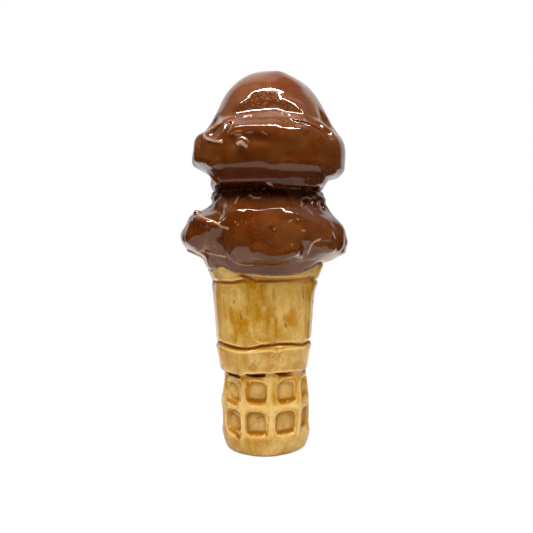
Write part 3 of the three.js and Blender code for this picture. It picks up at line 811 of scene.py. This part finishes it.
# A glossy coat over a colour, on a surface that ripples a little and has a fine peel
def coverWith(maker, look, colour, ripple, peel, coat):
    rippled = maker.node(
        "ShaderNodeBump", {}, {"Strength": look["rippleBump"], "Distance": rippleHeight, "Height": ripple},
    )
    peeled = maker.node(
        "ShaderNodeBump", {},
        {"Strength": look["peelBump"], "Distance": peelHeight, "Height": peel, "Normal": rippled},
    )
    shader = maker.node(
        "ShaderNodeBsdfPrincipled", {},
        {"Base Color": colour, "Roughness": look["roughness"], "IOR": look["ior"],
         "Coat Weight": coat * look["coat"], "Coat Roughness": look["coatRoughness"], "Normal": peeled},
    )
    maker.node("ShaderNodeOutputMaterial", {}, {"Surface": shader})


# The heights of the glazes' ripple and peel
rippleHeight = 0.2 * mm
peelHeight = 0.08 * mm

# Linear colours of the chocolate glaze, its grains' sizes in millimetres, and its finish
brown = {
    "warm": (0.050, 0.0098, 0.0005, 1),
    "light": (0.069, 0.0205, 0.0043, 1),
    "hollow": (0.030, 0.0045, 0.0012, 1),
    # painted shade: the deep colour is laid where shade falls, in the neck recess, on the skirt's second
    # roll, under the chunk and in pits
    "deep": (0.026, 0.004, 0.0014, 1),
    "fleck": (0.13, 0.05, 0.016, 1),
    "rough": (0.036, 0.0085, 0.0020, 1),
    "roughFleck": (0.15, 0.08, 0.045, 1),
    "crevice": (0.018, 0.003, 0.001, 1),
    "worn": (0.17, 0.09, 0.05, 1),
    # thin: the paler colour of glaze thinned on edges, also laid as painted highlights on a few glints
    "thin": (0.29, 0.17, 0.098, 1),
    "cloudSize": 14,
    "speckleSize": 0.7,
    "rippleSize": 3.5,
    "rippleBump": 0.15,
    "peelBump": 0.12,
    "roughness": 0.08,
    "ior": 1.4,
    "coat": 0.42,
    "coatRoughness": 0.03,
}


def chocolateGlaze():
    material, maker = newMaterial("chocolateGlaze")
    names = ("thin", "deep", "rough", "fine", "broad")
    thin, deep, rough, fine, broad = (mask(maker, name) for name in names)
    cloudy = grain(maker, brown["cloudSize"], 4)
    speckle = grain(maker, brown["speckleSize"], 2)
    colour = maker.mix(cloudy.between(0.35, 0.7), brown["warm"], brown["light"])
    colour = maker.mix((0 - broad).between(0.15, 0.8), colour, brown["hollow"])
    # painted shade: the deep mask darkens the colour where shade falls
    colour = maker.mix(deep, colour, brown["deep"])
    colour = maker.mix(speckle.between(0.62, 0.72) * 0.35, colour, brown["fleck"])
    colour = maker.mix(rough * 0.4, colour, brown["rough"])
    colour = maker.mix(speckle.between(0.54, 0.66) * rough * 0.6, colour, brown["roughFleck"])
    crevice = (0 - fine).between(0.1, 0.35)
    colour = maker.mix(crevice * 0.4, colour, brown["crevice"])
    worn = (fine + speckle * 0.03).between(0.06, 0.15)
    colour = maker.mix(worn * 0.6, colour, brown["worn"])
    # pale thin glaze on edges, and painted highlights where the thin mask is laid on glints
    colour = maker.mix(thin, colour, brown["thin"])
    ripple = grain(maker, brown["rippleSize"], 2)
    # where shade is painted the coat is also thinner
    coverWith(maker, brown, colour, ripple, speckle, 1 - deep * 0.6)
    return material


# Linear colours of the wafer's glaze, its grains' sizes in millimetres, and its finish
ochre = {
    "honey": (0.268, 0.138, 0.012, 1),
    "straw": (0.350, 0.218, 0.056, 1),
    "patch": (0.215, 0.090, 0.004, 1),
    "paleStreak": (0.340, 0.235, 0.090, 1),
    "fleck": (0.200, 0.090, 0.003, 1),
    "paleFleck": (0.400, 0.280, 0.125, 1),
    "amber": (0.232, 0.092, 0.0003, 1),
    "sunken": (0.310, 0.165, 0.028, 1),
    "hollow": (0.215, 0.072, 0.002, 1),
    "pool": (0.200, 0.062, 0.002, 1),
    "worn": (0.460, 0.300, 0.105, 1),
    # pale: glaze thinned on edges, and painted highlights on rims, ribs and lips and painted sheen on the
    # wall's sides
    "pale": (0.520, 0.355, 0.130, 1),
    "crevice": (0.160, 0.048, 0.0005, 1),
    "dark": (0.110, 0.024, 0.0005, 1),
    "cloudSize": 9,
    "patchSize": 4,
    "streakSize": 2.2,
    "fleckSize": 0.7,
    "speckleSize": 0.6,
    "rippleSize": 4,
    "rippleBump": 0.2,
    "peelBump": 0.08,
    "roughness": 0.09,
    "ior": 1.3,
    "coat": 0.6,
    "coatRoughness": 0.03,
}


def waferGlaze():
    material, maker = newMaterial("waferGlaze")
    names = ("amber", "dark", "pale", "pool", "wide", "fine", "broad")
    amber, dark, pale, pool, wide, fine, broad = (mask(maker, name) for name in names)
    cloudy = grain(maker, ochre["cloudSize"], 4)
    patchy = grain(maker, ochre["patchSize"], 4)
    streaks = grain(maker, ochre["streakSize"], 3, 0.6, (1, 1, 0.14))
    speckle = grain(maker, ochre["speckleSize"], 2)
    colour = maker.mix(cloudy.between(0.38, 0.64), ochre["honey"], ochre["straw"])
    colour = maker.mix(patchy.between(0.52, 0.68) * 0.6, colour, ochre["patch"])
    colour = maker.mix(streaks.between(0.5, 0.75) * 0.4, colour, ochre["patch"])
    colour = maker.mix(streaks.between(0.28, 0.42) * -0.45 + 0.45, colour, ochre["paleStreak"])
    flecks = grain(maker, ochre["fleckSize"], 3, 0.6, (1, 1, 0.5))
    colour = maker.mix(flecks.between(0.52, 0.68) * 0.4, colour, ochre["fleck"])
    colour = maker.mix(flecks.between(0.3, 0.44) * -0.25 + 0.25, colour, ochre["paleFleck"])
    pooled = (amber + patchy * 0.9 + streaks * 1.3 - 1.1).between(0, 0.95)
    colour = maker.mix(pooled * (0.9 + flecks * 0.15), colour, ochre["amber"])
    colour = maker.mix(wide * 0.4, colour, ochre["sunken"])
    hollow = (0 - broad).between(0.06, 0.4)
    colour = maker.mix(hollow * 0.9, colour, ochre["hollow"])
    colour = maker.mix(pool, colour, ochre["pool"])
    worn = (fine + speckle * 0.02).between(0.02, 0.09)
    colour = maker.mix(worn * 0.7, colour, ochre["worn"])
    # pale glaze on edges, and painted highlights and painted sheen where the pale mask lies
    colour = maker.mix(pale * 0.7, colour, ochre["pale"])
    crevice = (0 - fine).between(0.05, 0.16)
    colour = maker.mix(crevice * 0.85, colour, ochre["crevice"])
    colour = maker.mix(dark, colour, ochre["dark"])
    grooved = (dark + crevice + pooled).between(0, 1)
    ripple = grain(maker, ochre["rippleSize"], 2, 0.5, (1, 1, 0.5))
    coverWith(maker, ochre, colour, ripple, speckle, 1 - grooved)
    return material


chocolateMaterial = chocolateGlaze()
waferMaterial = waferGlaze()
for piece, node, material, slot in (
    (upperScoop, "upper_scoop", chocolateMaterial, "chocolate_glaze"),
    (lowerScoop, "lower_scoop", chocolateMaterial, "chocolate_glaze"),
    (waferCup, "wafer_cup", waferMaterial, "wafer_glaze"),
):
    piece.data.materials.append(material)
    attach(piece, "root")
    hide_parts(node)
print("glazes made, pieces in place")


# Stage: a white floor, a lit white ceiling with a bright strip along its front edge, and a white wall behind
stage = {
    "floorRadius": 60.0,
    # whiteReach: a painted pool of light, the floor's colour is white this far out and dark past it, for all
    # rays but the camera's
    "whiteReach": 0.18,  # the floor is lit white this far out, and dark past it
    "whiteFade": 0.025,
    "floorLit": (0.8, 0.8, 0.8, 1),
    "floorMirrored": (0.42, 0.34, 0.29, 1),
    "floorFar": (0.03, 0.03, 0.03, 1),
    "floorShown": (0.22, 0.22, 0.22, 1),
    "glow": 0.75,
    "glowMore": 0.25,
    "glowMoreReach": (0.05, 0.3),
    "ceilingHeight": 0.3,
    "ceilingWidth": 0.7,
    "ceilingForward": 0.065,
    "ceilingBack": 0.3,
    "ceilingPower": 0.17,
    "stripLength": 0.38,
    "stripWidth": 0.012,
    "stripPower": 1.5,
    "wallShine": 0.65,
    "wallBearing": 134,
    "wallBlend": 0.006,
    "roomBlend": 0.06,
    "wallGlowReach": (0.06, 0.2),
    "roomDark": (0.02, 0.02, 0.022, 1),
    "softLights": {
        "fillLight": {"place": (0, -0.42, 0.5), "size": (0.4, 0.4), "power": 5.7, "tilt": 47},
        "topLight": {"place": (0, 0.05, 0.45), "size": (0.3, 0.3), "power": 1.2},
        "rightLight": {"place": (0.35, 0, 0.09), "size": (0.25, 0.25), "power": 0.45,
                       "tilt": 90, "turn": 90},
        "leftLight": {"place": (-0.35, 0, 0.09), "size": (0.25, 0.25), "power": 0.45,
                      "tilt": 90, "turn": -90},
    },
}
white = (1, 1, 1, 1)


# For a place on the floor or a way into the room: a mask that is 1 towards the white wall and 0 towards the
# dark room, whether the camera sees it straight, and its length
def roomParts(maker, output, blend):
    place = maker.node("ShaderNodeTexCoord", {}, {}, output)
    x = maker.node("ShaderNodeSeparateXYZ", {}, [place], "X")
    y = maker.node("ShaderNodeSeparateXYZ", {}, [place], "Y")
    length = (x * x + y * y).math("SQRT")
    wall = (y - length * -math.cos(math.radians(stage["wallBearing"]))).between(-blend, blend)
    return wall, maker.node("ShaderNodeLightPath", {}, {}, "Is Camera Ray"), length


def addFloor():
    bpy.ops.object.select_all(action="DESELECT")
    bpy.ops.mesh.primitive_circle_add(vertices=128, radius=stage["floorRadius"], fill_type="NGON")
    floor = bpy.context.object
    floor.name = "floor"
    material, maker = newMaterial("floorWhite")
    behind, cameraRay, reach = roomParts(maker, "Object", stage["wallBlend"])
    # painted pool of light: white within whiteReach and dark past it except towards the wall; the camera sees
    # the floor evenly white
    far = reach.between(stage["whiteReach"], stage["whiteReach"] + stage["whiteFade"]) * (1 - behind)
    lit = maker.mix(far, stage["floorLit"], stage["floorFar"])
    glossyRay = maker.node("ShaderNodeLightPath", {}, {}, "Is Glossy Ray")
    dimmed = maker.mix(far, stage["floorMirrored"], stage["floorFar"])
    colour = maker.mix(cameraRay, maker.mix(glossyRay, lit, dimmed), stage["floorShown"])
    shaded = maker.node("ShaderNodeBsdfDiffuse", {}, {"Color": colour})
    away = reach.between(*stage["glowMoreReach"])
    strength = away * stage["glowMore"] + stage["glow"]
    glow = maker.node("ShaderNodeEmission", {}, {"Color": white, "Strength": strength})
    glowing = maker.node("ShaderNodeAddShader", {}, [shaded, glow])
    # painted reflection: towards the wall the floor glows white in glossy rays only, standing in for the wall
    # behind
    mirrored = glossyRay * behind * reach.between(*stage["wallGlowReach"]) * stage["wallShine"]
    backGlow = maker.node("ShaderNodeEmission", {}, {"Color": white, "Strength": mirrored})
    reflected = maker.node("ShaderNodeAddShader", {}, [shaded, backGlow])
    shader = maker.node("ShaderNodeMixShader", {}, [cameraRay, reflected, glowing])
    maker.node("ShaderNodeOutputMaterial", {}, {"Surface": shader})
    floor.data.materials.append(material)


def lightWorld():
    world = bpy.data.worlds.new("whiteRoom")
    scene.world = world
    world.use_nodes = True
    maker = Maker(world.node_tree)
    behind, cameraRay = roomParts(maker, "Generated", stage["roomBlend"])[:2]
    wall = (*3 * [stage["wallShine"]], 1)
    colour = maker.mix(cameraRay, maker.mix(behind, stage["roomDark"], wall), white)
    background = maker.node("ShaderNodeBackground", {}, {"Color": colour, "Strength": 1.0})
    maker.node("ShaderNodeOutputWorld", {}, {"Surface": background})


def addLight(name, place, size, power, tilt=0, turn=0):
    bpy.ops.object.select_all(action="DESELECT")
    turns = (math.radians(tilt), 0, math.radians(turn))
    bpy.ops.object.light_add(type="AREA", location=place, rotation=turns)
    light = bpy.context.object
    light.name = name
    light.data.shape = "RECTANGLE"
    light.data.size, light.data.size_y = size
    light.data.energy = power
    light.visible_camera = False
    return light


def addLights():
    front, back = -stage["ceilingForward"], stage["ceilingBack"]
    wide, high, thin = stage["ceilingWidth"], stage["ceilingHeight"], stage["stripWidth"]
    addLight("ceilingLight", (0, (front + back) / 2, high), (wide, back - front), stage["ceilingPower"])
    addLight("stripLight", (0, front - thin / 2, high), (stage["stripLength"], thin), stage["stripPower"])
    for name, settings in stage["softLights"].items():
        addLight(name, **settings).visible_glossy = False


addFloor()
lightWorld()
addLights()
scene.view_settings.view_transform = "Standard"
print("stage lit")
